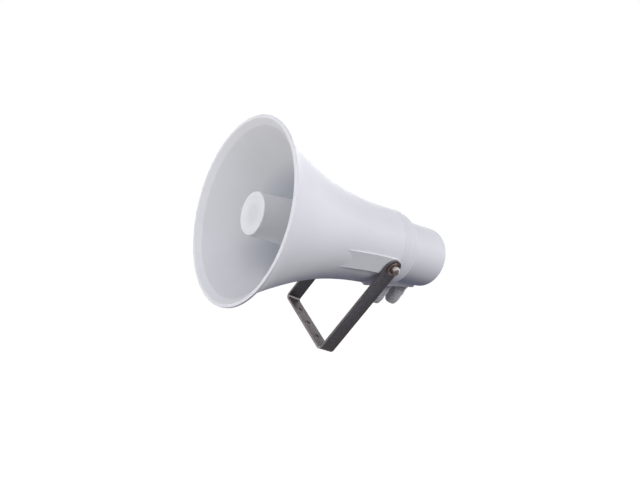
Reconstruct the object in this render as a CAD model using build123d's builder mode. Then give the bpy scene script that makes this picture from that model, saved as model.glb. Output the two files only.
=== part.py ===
from build123d import *
import math
import os

os.makedirs("parts", exist_ok=True)

# Driving dimensions of the bell, in millimetres and degrees
mouth_radius = 105.0
neck_radius = 50.7
bell_length = 206.0
bell_wall = 3.0
lip_wall = 3.6
lip_band = 2.4
lip_edge_radius = 1.1
lip_crease_radius = 4.0
# Each pair is a share of the way back to the neck and the share of the widening left there
lip_shape = (0.0325, 0.884)
flare_shape = ((0.078, 0.782), (0.165, 0.615), (0.34, 0.354), (0.485, 0.187), (0.68, 0.053))
bulkhead_setback = 20.0
bulkhead_thickness = 4.0
bowl_radius = 15.0

# Pivot and its bosses
pivot_setback = 10.1
boss_rise = 0.9
boss_face = neck_radius + boss_rise
boss_half_height = 12.0
boss_root = neck_radius - 10.7
boss_flat_length = 41.0
boss_ramp_length = 49.0
boss_ramp_rise = 4.7
boss_corner_radius = 9.5
boss_edge_radius = 0.7
insert_radius = 4.4
insert_length = 12.0
insert_setback = 0.2
insert_boss_wall = 3.4
insert_end_gap = 1.0

# Steel bracket
bracket_thickness = 2.8
friction_washer_thickness = 0.6
bracket_half_width = boss_face + friction_washer_thickness + bracket_thickness
bracket_strip_width = 22.2
bracket_bend_radius = 6.5
pivot_height = 139.4
lean_angle = 9.74
fixing_hole_radius = 3.3
fixing_hole_spacing = 27.4

# Pivot fasteners
bolt_radius = 3.0
bolt_running_gap = 0.08
bolt_length = 18.0
bolt_head_across_flats = 10.0
bolt_head_height = 4.0
flat_washer_radius = 8.6
flat_washer_thickness = 1.6
spring_washer_radius = 5.7
spring_washer_thickness = 1.6
spring_washer_slit = 1.3
washer_hole_gap = 0.25
friction_washer_radius = 10.6

# Closed cup in the middle of the bell
cup_setback = 16.9
cup_front_radius = neck_radius * 0.4842
cup_rear_radius = neck_radius * 0.6805
cup_waist = 1.4
cup_bowl_depth = 12.0
cup_rear_clearance = 18.0
cup_wall = 2.5
cup_edge_radius = 1.6
cup_dish_depth = 1.2
cup_rim_width = 4.6
cup_cone_height = 16.0
fin_count = 3
fin_thickness = 3.0
fin_length = 42.0
fin_seat_gap = 0.1

# Throat tube
throat_radius = 8.0
tube_mouth_radius = cup_front_radius * 0.631
tube_wall = 2.2
spigot_wall = 1.8
tube_front_gap = 40.0
tube_flange_radius = 19.0
tube_flange_thickness = 3.0
tube_root_fillet = 5.0
spigot_gap = 0.15

# Rear housing
housing_gasket_thickness = 0.5
housing_gasket_width = 5.2
gasket_recess = 0.3
shoulder_length = 29.5
# Each pair is a share of the way along the shoulder and the share of its step taken there
shoulder_shape = ((0.30, 0.0), (0.46, 0.08), (0.66, 0.19), (0.86, 0.42), (1.0, 1.0))
cap_front_radius = neck_radius * 0.8146
cap_rear_radius = cap_front_radius - 1.0
cap_length = 61.2
cap_edge_radius = 5.0
housing_wall = 3.2
head_pocket_depth = 5.0
chassis_gap = 2.1
chassis_radius = cap_front_radius - housing_wall - chassis_gap

# Screw columns that hold the housing on the bell
column_radius = 4.0
column_pitch = chassis_radius - column_radius + 1.0
column_length = 38.0
pilot_radius = 1.7
housing_screw_radius = 1.95
screw_clearance = 0.35
screw_head_radius = 3.4
screw_head_height = 2.6
screw_bite = 16.0

# Compression driver
driver_gap = 1.2
gasket_thickness = 0.8
gasket_width = 7.0
driver_radius = column_pitch - column_radius - driver_gap
plug_plate_thickness = 8.8
plug_channel_width = 3.2
plug_web_thickness = 1.6
plug_gap = 0.8
dome_radius = driver_radius - 15.3
dome_height = 4.5
dome_wall = 0.4
surround_gap = 0.3
surround_thickness = 0.4
surround_roll_radius = 2.0
surround_rim_radius = driver_radius - 3.8
clamp_inner_radius = surround_rim_radius - 5.0
clamp_thickness = 3.0
top_plate_thickness = 4.0
magnet_thickness = 10.0
magnet_inner_radius = dome_radius + 3.5
back_plate_thickness = 4.0
pole_radius = dome_radius - 0.8
gap_outer_radius = dome_radius + 1.3
coil_wall = 0.5
former_wall = 0.3
former_length = 9.6
coil_length = 6.0
driver_ear_radius = 4.2
driver_ear_pitch = driver_radius + 3.7
driver_screw_radius = 1.9


# Cable entry platform under the housing
platform_half_width = 17.0
platform_front_depth = neck_radius + 2.5
platform_rear_depth = cap_rear_radius + 1.0
platform_edge_radius = 3.0
platform_end_setback = 2.6
gland_pitch = 29.0
gland_rear_setback = 12.4

# Cable glands
gland_thread_radius = 9.9
gland_thread_gap = 0.1
gland_across_flats = 24.0
gland_collar_height = 2.0
gland_collar_radius = 13.4
gland_hex_height = 6.0
gland_thread_length = 10.5
gland_bore_radius = 7.0
gland_neck_radius = 8.6
gland_nut_gap = 1.2
gland_nut_length = 26.4
gland_nut_radius = 12.1
gland_skirt_length = 9.0
gland_nose_radius = 7.6
gland_mouth_radius = 5.4
gland_rib_count = 12
gland_rib_depth = 0.6
seal_radius = 6.9
seal_bore_radius = 4.0
seal_start = 5.0
seal_length = 23.0

# Chassis plate, transformer and terminals
chassis_thickness = 1.5
chassis_window = (16.0, 9.0)
core_width = chassis_radius
core_height = core_width * 0.833
core_stack = 13.0
core_limb = core_width / 6
core_drop = 5.0
core_standoff = 5.0
bobbin_height = core_height - 2 * core_limb - 1.0
bobbin_overhang = 4.6
strap_thickness = 1.2
strap_margin = 3.0
strap_foot = 8.0
terminal_width = 20.0
terminal_height = 9.0
terminal_depth = 13.0
terminal_rise = chassis_radius - 14.0
terminal_count = 3
terminal_bore_radius = 1.7
terminal_screw_radius = 1.6

# The horn's own axis leans down with the bracket upright
lean = math.radians(lean_angle)
rearward = Vector(0, math.cos(lean), math.sin(lean))
horn_up = Vector(0, -math.sin(lean), math.cos(lean))
pivot = Vector(0, 0, pivot_height)
mouth_centre = pivot - rearward * (bell_length - pivot_setback)
horn_axis = Axis(mouth_centre, rearward)
up_axis = Axis(mouth_centre, horn_up)

# Lengthwise section, with x rearward from the mouth and y upward
axial_plane = Plane(origin=mouth_centre, x_dir=rearward, z_dir=(1, 0, 0))
# Plan section, with x rearward from the mouth and y to the right-hand side
plan_plane = Plane(origin=mouth_centre, x_dir=rearward, z_dir=-horn_up)
# Cross section at the mouth, facing rearward, with y upward
mouth_plane = Plane(origin=mouth_centre, x_dir=(-1, 0, 0), z_dir=rearward)

bowl_station = bell_length - bulkhead_setback
bulkhead_rear = bowl_station + bulkhead_thickness
pivot_station = bell_length - pivot_setback
column_end = bulkhead_rear + column_length
column_places = [(column_pitch * math.cos(math.radians(t)), column_pitch * math.sin(math.radians(t)))
                 for t in (45, 135, 225, 315)]
ear_places = [(driver_ear_pitch * math.cos(math.radians(t)), driver_ear_pitch * math.sin(math.radians(t)))
              for t in (90, 202.5, 337.5)]
sides = (("left", -1), ("right", 1))


def station(distance):
    return mouth_plane.offset(distance)


def side_plane(side, distance):
    return Plane(origin=pivot + Vector(side * distance, 0, 0), x_dir=(0, side, 0), z_dir=(side, 0, 0))


def flare_points(mouth, neck, *first_pairs, start=0.0):
    pairs = [*first_pairs, *flare_shape]
    between = [(bell_length * back, neck + (mouth - neck) * gain) for back, gain in pairs]
    return [(start, mouth)] + between + [(bell_length, neck)]


# Flare: the outside form and the air space inside it
with BuildPart() as bell_form:
    with BuildSketch(axial_plane):
        with BuildLine():
            outside = Spline(*flare_points(mouth_radius, neck_radius, start=lip_band))
            Polyline(outside @ 1, (bell_length, 0), (0, 0), (0, mouth_radius), outside @ 0)
        make_face()
    revolve(axis=horn_axis)

with BuildPart() as bell_space:
    with BuildSketch(axial_plane):
        with BuildLine():
            lip_point, *rear_points = flare_points(mouth_radius - lip_wall, neck_radius - bell_wall, lip_shape)[1:]
            inside = Spline(lip_point, *rear_points)
            Polyline(inside @ 1, (bell_length, 0), (0, 0), (0, mouth_radius - lip_wall), inside @ 0)
        make_face()
    revolve(axis=horn_axis)
    lip_crease = bell_space.edges().filter_by(GeomType.CIRCLE).group_by(horn_axis)[1]
    fillet(lip_crease, radius=lip_crease_radius)
    split(bisect_by=station(bowl_station), keep=Keep.BOTTOM)
    fillet(bell_space.faces().sort_by(horn_axis)[-1].edges(), radius=bowl_radius)

# Boss on the right-hand side: a flat pad that ramps out into the flare
with BuildPart() as side_boss:
    with BuildSketch(plan_plane):
        with BuildLine():
            flat_start = bell_length - boss_flat_length
            ramp_start = flat_start - boss_ramp_length
            Polyline((bell_length, boss_root), (bell_length, boss_face), (flat_start, boss_face),
                     (ramp_start, boss_face + boss_ramp_rise), (ramp_start, boss_root), close=True)
        make_face()
    extrude(amount=boss_half_height, both=True)
    fillet(side_boss.edges().filter_by(Axis.X).group_by(horn_axis)[-1], radius=boss_corner_radius)
    pad_faces = side_boss.faces().sort_by(Axis.X)[-2:]
    fillet(pad_faces.edges().filter_by(up_axis, reverse=True), radius=boss_edge_radius)

# Horn bell with its bosses, bulkhead and screw columns
insert_hole_depth = insert_length + insert_setback + insert_end_gap
with BuildPart() as horn_bell:
    add(bell_form.part)
    add(side_boss.part)
    add(mirror(side_boss.part, about=Plane.YZ))
    add(bell_space.part, mode=Mode.SUBTRACT)
    mouth_rims = horn_bell.edges().filter_by(GeomType.CIRCLE).group_by(horn_axis)[0]
    fillet(mouth_rims, radius=lip_edge_radius)
    with BuildSketch(station(bell_length)):
        Circle(neck_radius - bell_wall)
    extrude(amount=bulkhead_rear - bell_length, mode=Mode.SUBTRACT)
    with BuildSketch(station(bulkhead_rear)):
        with Locations(*column_places):
            Circle(column_radius)
    extrude(amount=column_length)
    for name, side in sides:
        with BuildSketch(side_plane(side, boss_face - insert_hole_depth - insert_boss_wall)):
            Circle(insert_radius + insert_boss_wall)
        extrude(amount=insert_hole_depth)
        with BuildSketch(side_plane(side, boss_face)):
            Circle(insert_radius)
        extrude(amount=-insert_hole_depth, mode=Mode.SUBTRACT)
    spigot_radius = throat_radius + tube_wall + spigot_wall
    with BuildSketch(station(bowl_station)):
        Circle(spigot_radius + spigot_gap)
    extrude(amount=bulkhead_thickness, mode=Mode.SUBTRACT)
    with BuildSketch(station(bulkhead_rear)):
        with Locations(*ear_places):
            Circle(driver_screw_radius)
    extrude(amount=-bulkhead_thickness, mode=Mode.SUBTRACT)
    with BuildSketch(station(column_end)):
        with Locations(*column_places):
            Circle(pilot_radius)
    extrude(amount=-(screw_bite + 2.0), mode=Mode.SUBTRACT)
horn_bell.part.label = "horn_bell"
export_step(horn_bell.part, "parts/horn_bell.step")

# Reflector cup: closed at the front, open behind, carried by three fins
cup_rear = bowl_station - cup_rear_clearance
with BuildPart() as reflector_cup:
    with BuildSketch(axial_plane):
        with BuildLine():
            dish_radius = cup_front_radius - cup_rim_width
            skin = Spline((cup_setback, cup_front_radius),
                          ((cup_setback + cup_rear) / 2, (cup_front_radius + cup_rear_radius) / 2 - cup_waist),
                          (cup_rear, cup_rear_radius))
            front = Polyline((cup_setback + cup_dish_depth, 0), (cup_setback + cup_dish_depth, dish_radius * 0.8),
                             (cup_setback, dish_radius), (cup_setback, cup_front_radius))
            closed_end = cup_setback + cup_dish_depth + cup_wall
            lining_waist = (cup_front_radius + cup_rear_radius) / 2 - cup_waist - cup_wall
            lining = Spline((cup_rear, cup_rear_radius - cup_wall), ((cup_setback + cup_rear) / 2, lining_waist),
                            (closed_end + cup_bowl_depth, cup_front_radius - cup_wall + 0.3))
            bowl = Spline(lining @ 1, (closed_end, dish_radius * 0.68), (closed_end + cup_cone_height, 0),
                          tangents=((-1, 0), (1, -0.25)))
            Line(skin @ 1, lining @ 0)
            Line(bowl @ 1, front @ 0)
        make_face()
    revolve(axis=horn_axis)
    front_rim = reflector_cup.edges().filter_by(GeomType.CIRCLE).group_by(horn_axis)[0].sort_by(SortBy.RADIUS)[-1]
    fillet(front_rim, radius=cup_edge_radius)
with BuildPart() as cup_fins:
    fin_front = cup_rear - fin_length
    with BuildSketch(axial_plane):
        with Locations((fin_front + fin_length / 2 - 1.0, (mouth_radius + cup_rear_radius) / 2 - cup_wall / 2)):
            Rectangle(fin_length, mouth_radius - cup_rear_radius + cup_wall)
    extrude(amount=fin_thickness / 2, both=True)
    add([cup_fins.part.rotate(horn_axis, 360 / fin_count * k) for k in range(1, fin_count)])
with BuildPart() as fin_limit:
    with BuildSketch(axial_plane):
        with BuildLine():
            seat = Spline(*flare_points(mouth_radius - lip_wall - fin_seat_gap,
                                        neck_radius - bell_wall - fin_seat_gap))
            Polyline(seat @ 1, (bell_length, 0), (0, 0), seat @ 0)
        make_face()
    revolve(axis=horn_axis)
with BuildPart() as cup_hollow:
    with BuildSketch(station(cup_setback + cup_wall)):
        Circle(cup_front_radius - cup_wall)
    with BuildSketch(station(cup_rear)):
        Circle(cup_rear_radius - cup_wall)
    loft()
seated_fins = (cup_fins.part & fin_limit.part) - cup_hollow.part
with BuildPart() as finned_cup:
    add(reflector_cup.part)
    add(seated_fins)
finned_cup.part.label = "reflector_cup"
export_step(finned_cup.part, "parts/reflector_cup.step")

# Throat tube: opens forward inside the cup and is fixed on the bulkhead
tube_front = cup_setback + tube_front_gap
flange_front = bowl_station - tube_flange_thickness
with BuildPart() as throat_tube:
    with BuildSketch(axial_plane):
        with BuildLine():
            bore = Spline((bulkhead_rear, throat_radius), (flange_front, throat_radius + 0.1),
                          ((flange_front + tube_front) / 2, throat_radius * 0.62 + tube_mouth_radius * 0.38),
                          (tube_front, tube_mouth_radius))
            body = Spline((tube_front, tube_mouth_radius + tube_wall),
                          ((flange_front + tube_front) / 2,
                           throat_radius * 0.62 + tube_mouth_radius * 0.38 + tube_wall),
                          (flange_front - tube_root_fillet, throat_radius + tube_wall + 0.4))
            Line(bore @ 1, body @ 0)
            root = RadiusArc(body @ 1, (flange_front, throat_radius + tube_wall + 0.4 + tube_root_fillet),
                             -tube_root_fillet)
            Polyline(root @ 1, (flange_front, tube_flange_radius), (bowl_station, tube_flange_radius),
                     (bowl_station, spigot_radius), (bulkhead_rear, spigot_radius), bore @ 0)
        make_face()
    revolve(axis=horn_axis)
throat_tube.part.label = "throat_tube"
export_step(throat_tube.part, "parts/throat_tube.step")


def turned(name, profile):
    # A ring or disc turned about the horn's axis from pairs of station and radius
    with BuildPart() as ring:
        with BuildSketch(axial_plane):
            with BuildLine():
                Polyline(*profile, close=True)
            make_face()
        revolve(axis=horn_axis)
    ring.part.label = name
    export_step(ring.part, f"parts/{name}.step")
    return ring.part


# Compression driver, from its gasket back to its pole piece
plate_front = bulkhead_rear + gasket_thickness
plate_rear = plate_front + plug_plate_thickness
dome_station = plate_rear + surround_thickness
clamp_rear = dome_station + clamp_thickness
magnet_front = clamp_rear + top_plate_thickness
magnet_rear = magnet_front + magnet_thickness
dome_sphere = (dome_radius ** 2 + dome_height ** 2) / (2 * dome_height)
turned("throat_gasket", [(bulkhead_rear, spigot_radius + 1.0), (bulkhead_rear, spigot_radius + 1.0 + gasket_width),
                         (plate_front, spigot_radius + 1.0 + gasket_width), (plate_front, spigot_radius + 1.0)])

channel_outer = throat_radius + plug_channel_width
with BuildPart() as phase_plug:
    with BuildSketch(station(plate_front)):
        Circle(driver_radius)
        with Locations(*ear_places):
            Circle(driver_ear_radius)
        with Locations((0, 0)):
            Circle(throat_radius, mode=Mode.SUBTRACT)
        with Locations(*ear_places):
            Circle(driver_screw_radius + screw_clearance, mode=Mode.SUBTRACT)
    extrude(amount=plug_plate_thickness)
    with BuildSketch(axial_plane):
        with BuildLine():
            Polyline((plate_front, 0), (plate_front, throat_radius), (plate_rear - 2.0, channel_outer),
                     (plate_rear - 2.0, clamp_inner_radius), (plate_rear, clamp_inner_radius),
                     (plate_rear, 0), close=True)
        make_face()
    revolve(axis=horn_axis, mode=Mode.SUBTRACT)
    with BuildSketch(axial_plane):
        with BuildLine():
            bullet_rear = dome_station - surround_thickness
            Polyline((plate_front - 3.0, 0), (plate_front + 1.0, 3.0), (bullet_rear, throat_radius - 0.6),
                     (bullet_rear, 0), close=True)
        make_face()
    revolve(axis=horn_axis)
    for turn in range(fin_count):
        web_angle = math.radians(360 / fin_count * turn + 30)
        web_plane = Plane(origin=mouth_centre, x_dir=rearward,
                          z_dir=Vector(math.sin(web_angle), 0, 0) + horn_up * math.cos(web_angle))
        with BuildSketch(web_plane):
            with Locations((plate_front + plug_plate_thickness / 2 - 1.0, channel_outer / 2 + 1.0)):
                Rectangle(plug_plate_thickness - 3.0, channel_outer)
        extrude(amount=plug_web_thickness / 2, both=True)
    with BuildSketch(axial_plane):
        with BuildLine():
            seat_radius = dome_sphere + plug_gap
            seat_centre = dome_station - dome_height + dome_sphere
            nose = (seat_centre - seat_radius, 0)
            edge_height = dome_radius + plug_gap
            edge = (seat_centre - math.sqrt(seat_radius ** 2 - edge_height ** 2), edge_height)
            middle_height = edge_height / 2
            middle = (seat_centre - math.sqrt(seat_radius ** 2 - middle_height ** 2), middle_height)
            ThreePointArc(nose, middle, edge)
            Polyline(edge, (plate_rear + 1.0, edge_height), (plate_rear + 1.0, 0), nose)
        make_face()
    revolve(axis=horn_axis, mode=Mode.SUBTRACT)
phase_plug.part.label = "phase_plug"
export_step(phase_plug.part, "parts/phase_plug.step")

with BuildPart() as diaphragm_dome:
    with BuildSketch(axial_plane):
        with BuildLine():
            dome_centre = dome_station - dome_height + dome_sphere
            half = dome_radius / 2
            inner_sphere = dome_sphere - dome_wall
            inner_edge = dome_radius - dome_wall
            crown = (dome_centre - dome_sphere, 0)
            crown_middle = (dome_centre - math.sqrt(dome_sphere ** 2 - half ** 2), half)
            outer_arc = ThreePointArc(crown, crown_middle, (dome_station, dome_radius))
            hollow_edge = (dome_centre - math.sqrt(inner_sphere ** 2 - inner_edge ** 2), inner_edge)
            hollow_middle = (dome_centre - math.sqrt(inner_sphere ** 2 - half ** 2), half)
            hollow_crown = (dome_centre - inner_sphere, 0)
            inner_arc = ThreePointArc(hollow_edge, hollow_middle, hollow_crown)
            Polyline(outer_arc @ 1, (dome_station + dome_wall, dome_radius),
                     (dome_station + dome_wall, inner_edge), inner_arc @ 0)
            Line(inner_arc @ 1, outer_arc @ 0)
        make_face()
    revolve(axis=horn_axis)
diaphragm_dome.part.label = "diaphragm_dome"
export_step(diaphragm_dome.part, "parts/diaphragm_dome.step")

former_front = dome_station + dome_wall
former_rear = former_front + former_length
coil_radius = dome_radius + coil_wall
turned("voice_coil", [(former_front, dome_radius - former_wall), (former_front, dome_radius),
                      (former_rear - coil_length - 0.5, dome_radius), (former_rear - coil_length - 0.5, coil_radius),
                      (former_rear - 0.5, coil_radius), (former_rear - 0.5, dome_radius),
                      (former_rear, dome_radius), (former_rear, dome_radius - former_wall)])

with BuildPart() as diaphragm_surround:
    with BuildSketch(axial_plane):
        with BuildLine():
            roll_middle = clamp_inner_radius - 0.4 - surround_roll_radius - surround_thickness
            inner_start = dome_radius + surround_gap
            outer_roll = surround_roll_radius + surround_thickness
            Polyline((plate_rear, inner_start), (dome_station, inner_start),
                     (dome_station, roll_middle - outer_roll))
            ThreePointArc((dome_station, roll_middle - outer_roll), (dome_station + outer_roll, roll_middle),
                          (dome_station, roll_middle + outer_roll))
            Polyline((dome_station, roll_middle + outer_roll), (dome_station, surround_rim_radius),
                     (plate_rear, surround_rim_radius), (plate_rear, roll_middle + surround_roll_radius))
            ThreePointArc((plate_rear, roll_middle + surround_roll_radius),
                          (plate_rear + surround_roll_radius, roll_middle),
                          (plate_rear, roll_middle - surround_roll_radius))
            Line((plate_rear, roll_middle - surround_roll_radius), (plate_rear, inner_start))
        make_face()
    revolve(axis=horn_axis)
diaphragm_surround.part.label = "diaphragm_surround"
export_step(diaphragm_surround.part, "parts/diaphragm_surround.step")

turned("diaphragm_clamp", [(dome_station, clamp_inner_radius), (dome_station, surround_rim_radius),
                           (plate_rear, surround_rim_radius), (plate_rear, driver_radius),
                           (clamp_rear, driver_radius), (clamp_rear, clamp_inner_radius)])
turned("top_plate", [(clamp_rear, gap_outer_radius), (clamp_rear, driver_radius - 0.3),
                     (magnet_front, driver_radius - 0.3), (magnet_front, gap_outer_radius)])
turned("ferrite_magnet", [(magnet_front, magnet_inner_radius), (magnet_front, driver_radius),
                          (magnet_rear, driver_radius), (magnet_rear, magnet_inner_radius)])
turned("pole_piece", [(clamp_rear, 0), (clamp_rear, pole_radius), (magnet_rear, pole_radius),
                      (magnet_rear, driver_radius - 0.3), (magnet_rear + back_plate_thickness, driver_radius - 0.3),
                      (magnet_rear + back_plate_thickness, 0)])


def screw_set(name, places, seat, shank_radius, length):
    # Pan-head screws along the horn's axis, heads behind the seat and shanks forward
    with BuildPart() as screws:
        with BuildSketch(station(seat)):
            with Locations(*places):
                Circle(shank_radius)
        extrude(amount=-length)
        with BuildSketch(station(seat)):
            with Locations(*places):
                Circle(screw_head_radius)
        extrude(amount=screw_head_height)
        head_rims = screws.edges().filter_by(GeomType.CIRCLE).group_by(horn_axis)[-1]
        fillet(head_rims, radius=screw_head_height * 0.35)
        with BuildSketch(station(seat + screw_head_height)):
            with Locations(*places):
                Rectangle(screw_head_radius * 1.1, screw_head_radius * 0.25)
                Rectangle(screw_head_radius * 0.25, screw_head_radius * 1.1)
        extrude(amount=-screw_head_height * 0.5, mode=Mode.SUBTRACT)
    screws.part.label = name
    export_step(screws.part, f"parts/{name}.step")


screw_set("driver_screws", ear_places, plate_rear, driver_screw_radius - 0.05,
          plate_rear - bowl_station - 0.5)

# Gasket in the joint between the bell and its housing
housing_front = bell_length + housing_gasket_thickness
gasket_outer = neck_radius - gasket_recess
turned("housing_gasket", [(bell_length, gasket_outer - housing_gasket_width), (bell_length, gasket_outer),
                          (housing_front, gasket_outer), (housing_front, gasket_outer - housing_gasket_width)])

# Rear housing: shoulder, cap, cable platform and screw pillars
shoulder_station = housing_front + shoulder_length
shoulder_step = neck_radius - cap_front_radius
housing_rear = shoulder_station + cap_length
housing_floor = housing_rear - housing_wall
platform_end = housing_rear - platform_end_setback
chassis_front = column_end
pillar_front = chassis_front + chassis_thickness
head_seat = housing_rear - head_pocket_depth
platform_run = platform_end - housing_front
platform_rise = platform_front_depth - platform_rear_depth
platform_slope = math.atan2(platform_rise, platform_run)
gland_direction = rearward * math.sin(platform_slope) - horn_up * math.cos(platform_slope)
gland_stations = {"rear": platform_end - gland_rear_setback, "front": platform_end - gland_rear_setback - gland_pitch}


def gland_plane(place, distance):
    # Faces out of the platform, square to its sloping face
    along = gland_stations[place]
    depth = platform_front_depth - (along - housing_front) * math.tan(platform_slope)
    root_point = mouth_centre + rearward * along - horn_up * depth
    return Plane(origin=root_point, x_dir=(1, 0, 0), z_dir=gland_direction).offset(distance)


def shoulder_points(inset):
    return [(housing_front + shoulder_length * along - inset, neck_radius - shoulder_step * fall - inset)
            for along, fall in shoulder_shape]


with BuildPart() as cable_platform:
    with BuildSketch(axial_plane):
        Polygon((housing_front, -boss_root * 0.5), (housing_front, -platform_front_depth),
                (platform_end, -platform_rear_depth), (platform_end, -boss_root * 0.5), align=None)
    extrude(amount=platform_half_width, both=True)
    fillet(cable_platform.edges().filter_by(up_axis), radius=platform_edge_radius)
    underside = cable_platform.faces().sort_by(up_axis)[0]
    fillet(underside.edges(), radius=platform_edge_radius * 0.8)

with BuildPart() as rear_housing:
    with BuildSketch(axial_plane):
        with BuildLine():
            rounding = Spline(shoulder_points(0), tangents=((1, 0), (0.1, -1)))
            Polyline(rounding @ 1, (housing_rear, cap_rear_radius), (housing_rear, 0), (housing_front, 0),
                     (housing_front, neck_radius), rounding @ 0)
        make_face()
    revolve(axis=horn_axis)
    fillet(rear_housing.faces().sort_by(horn_axis)[-1].edges(), radius=cap_edge_radius)
    add(cable_platform.part)
    for place in gland_stations:
        with BuildSketch(gland_plane(place, -1.0)):
            Circle(gland_collar_radius)
        extrude(amount=1.0 + gland_collar_height)
    with BuildSketch(axial_plane):
        with BuildLine():
            lining = Spline(shoulder_points(housing_wall), tangents=((1, 0), (0.1, -1)))
            Polyline(lining @ 1, (housing_floor, cap_rear_radius - housing_wall), (housing_floor, 0),
                     (housing_front, 0), (housing_front, neck_radius - housing_wall), lining @ 0)
        make_face()
    revolve(axis=horn_axis, mode=Mode.SUBTRACT)
    with BuildSketch(station(pillar_front)):
        with Locations(*column_places):
            Circle(column_radius)
    extrude(amount=housing_floor - pillar_front)
    with BuildSketch(station(head_seat - housing_wall)):
        with Locations(*column_places):
            Circle(screw_head_radius + 1.6)
    extrude(amount=housing_floor - head_seat + housing_wall)
    with BuildSketch(station(pillar_front)):
        with Locations(*column_places):
            Circle(housing_screw_radius + screw_clearance)
    extrude(amount=head_seat - pillar_front, mode=Mode.SUBTRACT)
    with BuildSketch(station(head_seat)):
        with Locations(*column_places):
            Circle(screw_head_radius + screw_clearance)
    extrude(amount=head_pocket_depth, mode=Mode.SUBTRACT)
    for place in gland_stations:
        with BuildSketch(gland_plane(place, gland_collar_height)):
            Circle(gland_thread_radius + gland_thread_gap)
        extrude(amount=-(gland_collar_height + gland_thread_length + 6.0), mode=Mode.SUBTRACT)
rear_housing.part.label = "rear_housing"
export_step(rear_housing.part, "parts/rear_housing.step")

screw_set("housing_screws", column_places, head_seat, housing_screw_radius - 0.3,
          head_seat - column_end + screw_bite)

# Cable glands: body, seal and domed nut, one set for each entry
for place in gland_stations:
    hex_front = gland_collar_height + gland_hex_height
    nut_front = hex_front + gland_nut_gap
    nut_end = nut_front + gland_nut_length
    with BuildPart() as gland_body:
        with BuildSketch(gland_plane(place, gland_collar_height)):
            RegularPolygon(radius=gland_across_flats / 2, side_count=6, major_radius=False)
        extrude(amount=gland_hex_height)
        with BuildSketch(gland_plane(place, gland_collar_height)):
            Circle(gland_thread_radius)
        extrude(amount=-gland_thread_length)
        with BuildSketch(gland_plane(place, hex_front)):
            Circle(gland_neck_radius)
        extrude(amount=gland_nut_length * 0.45)
        with BuildSketch(gland_plane(place, gland_collar_height - gland_thread_length)):
            Circle(gland_bore_radius)
        extrude(amount=gland_thread_length + gland_hex_height + gland_nut_length, mode=Mode.SUBTRACT)
    gland_body.part.label = f"gland_body_{place}"
    export_step(gland_body.part, f"parts/gland_body_{place}.step")

    with BuildPart() as gland_nut:
        nut_plane = gland_plane(place, 0)
        with BuildSketch(Plane(origin=nut_plane.origin, x_dir=nut_plane.z_dir, z_dir=(1, 0, 0))):
            with BuildLine():
                skirt = Polyline((nut_front, 0), (nut_front, gland_nut_radius),
                                 (nut_front + gland_skirt_length, gland_nut_radius - 0.2))
                shallow = (nut_front + gland_skirt_length + 2.2, gland_nut_radius - 1.3)
                dome = Spline(shallow, ((shallow[0] + nut_end) / 2, (shallow[1] + gland_nose_radius) / 2 + 0.9),
                              (nut_end, gland_nose_radius))
                Line(skirt @ 1, dome @ 0)
                Polyline(dome @ 1, (nut_end, 0), skirt @ 0)
            make_face()
        revolve(axis=Axis(nut_plane.origin, nut_plane.z_dir))
        with BuildSketch(gland_plane(place, nut_front)):
            with PolarLocations(gland_nut_radius + gland_rib_depth, gland_rib_count):
                Circle(gland_rib_depth * 2)
        extrude(amount=gland_skirt_length - 1.0, mode=Mode.SUBTRACT)
        with BuildSketch(gland_plane(place, nut_front)):
            Circle(gland_neck_radius + 0.2)
        extrude(amount=gland_nut_length * 0.55, mode=Mode.SUBTRACT)
        with BuildSketch(gland_plane(place, nut_front)):
            Circle(gland_mouth_radius)
        extrude(amount=gland_nut_length, mode=Mode.SUBTRACT)
        with BuildSketch(gland_plane(place, seal_start + seal_length + 0.2)):
            Circle(seal_radius + 0.1)
        extrude(amount=-seal_length * 0.6, mode=Mode.SUBTRACT)
    gland_nut.part.label = f"gland_nut_{place}"
    export_step(gland_nut.part, f"parts/gland_nut_{place}.step")

    with BuildPart() as gland_seal:
        with BuildSketch(gland_plane(place, seal_start)):
            Circle(seal_radius)
            Circle(seal_bore_radius, mode=Mode.SUBTRACT)
        extrude(amount=seal_length)
    gland_seal.part.label = f"gland_seal_{place}"
    export_step(gland_seal.part, f"parts/gland_seal_{place}.step")

# Chassis plate between the columns and the pillars
with BuildPart() as chassis_plate:
    with BuildSketch(station(chassis_front)):
        Circle(chassis_radius)
        with Locations(*column_places):
            Circle(housing_screw_radius + screw_clearance, mode=Mode.SUBTRACT)
        with Locations((0, -chassis_radius + chassis_window[1] / 2)):
            Rectangle(chassis_window[0], chassis_window[1] + 2.0, mode=Mode.SUBTRACT)
    extrude(amount=chassis_thickness)
chassis_plate.part.label = "chassis_plate"
export_step(chassis_plate.part, "parts/chassis_plate.step")

# Line transformer: laminated core, coil on its middle limb, steel strap round it
core_front = pillar_front + core_standoff
core_rear = core_front + core_stack
window_width = (core_width - 4 * core_limb) / 2
window_height = core_height - 2 * core_limb
window_pitch = 2 * core_limb + window_width
with BuildPart() as transformer_core:
    with BuildSketch(station(core_front)):
        with Locations((0, -core_drop)):
            Rectangle(core_width, core_height)
        with Locations((-window_pitch / 2, -core_drop), (window_pitch / 2, -core_drop)):
            Rectangle(window_width, window_height, mode=Mode.SUBTRACT)
    extrude(amount=core_stack)
transformer_core.part.label = "transformer_core"
export_step(transformer_core.part, "parts/transformer_core.step")

with BuildPart() as transformer_coil:
    with BuildSketch(station(core_front - bobbin_overhang)):
        with Locations((0, -core_drop)):
            RectangleRounded(window_pitch + window_width - 0.4, bobbin_height, 2.0)
    extrude(amount=core_stack + 2 * bobbin_overhang)
    with BuildSketch(station(core_front)):
        with Locations((0, -core_drop)):
            Rectangle(2 * core_limb, core_height)
    extrude(amount=core_stack, mode=Mode.SUBTRACT)
transformer_coil.part.label = "transformer_coil"
export_step(transformer_coil.part, "parts/transformer_coil.step")

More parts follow.
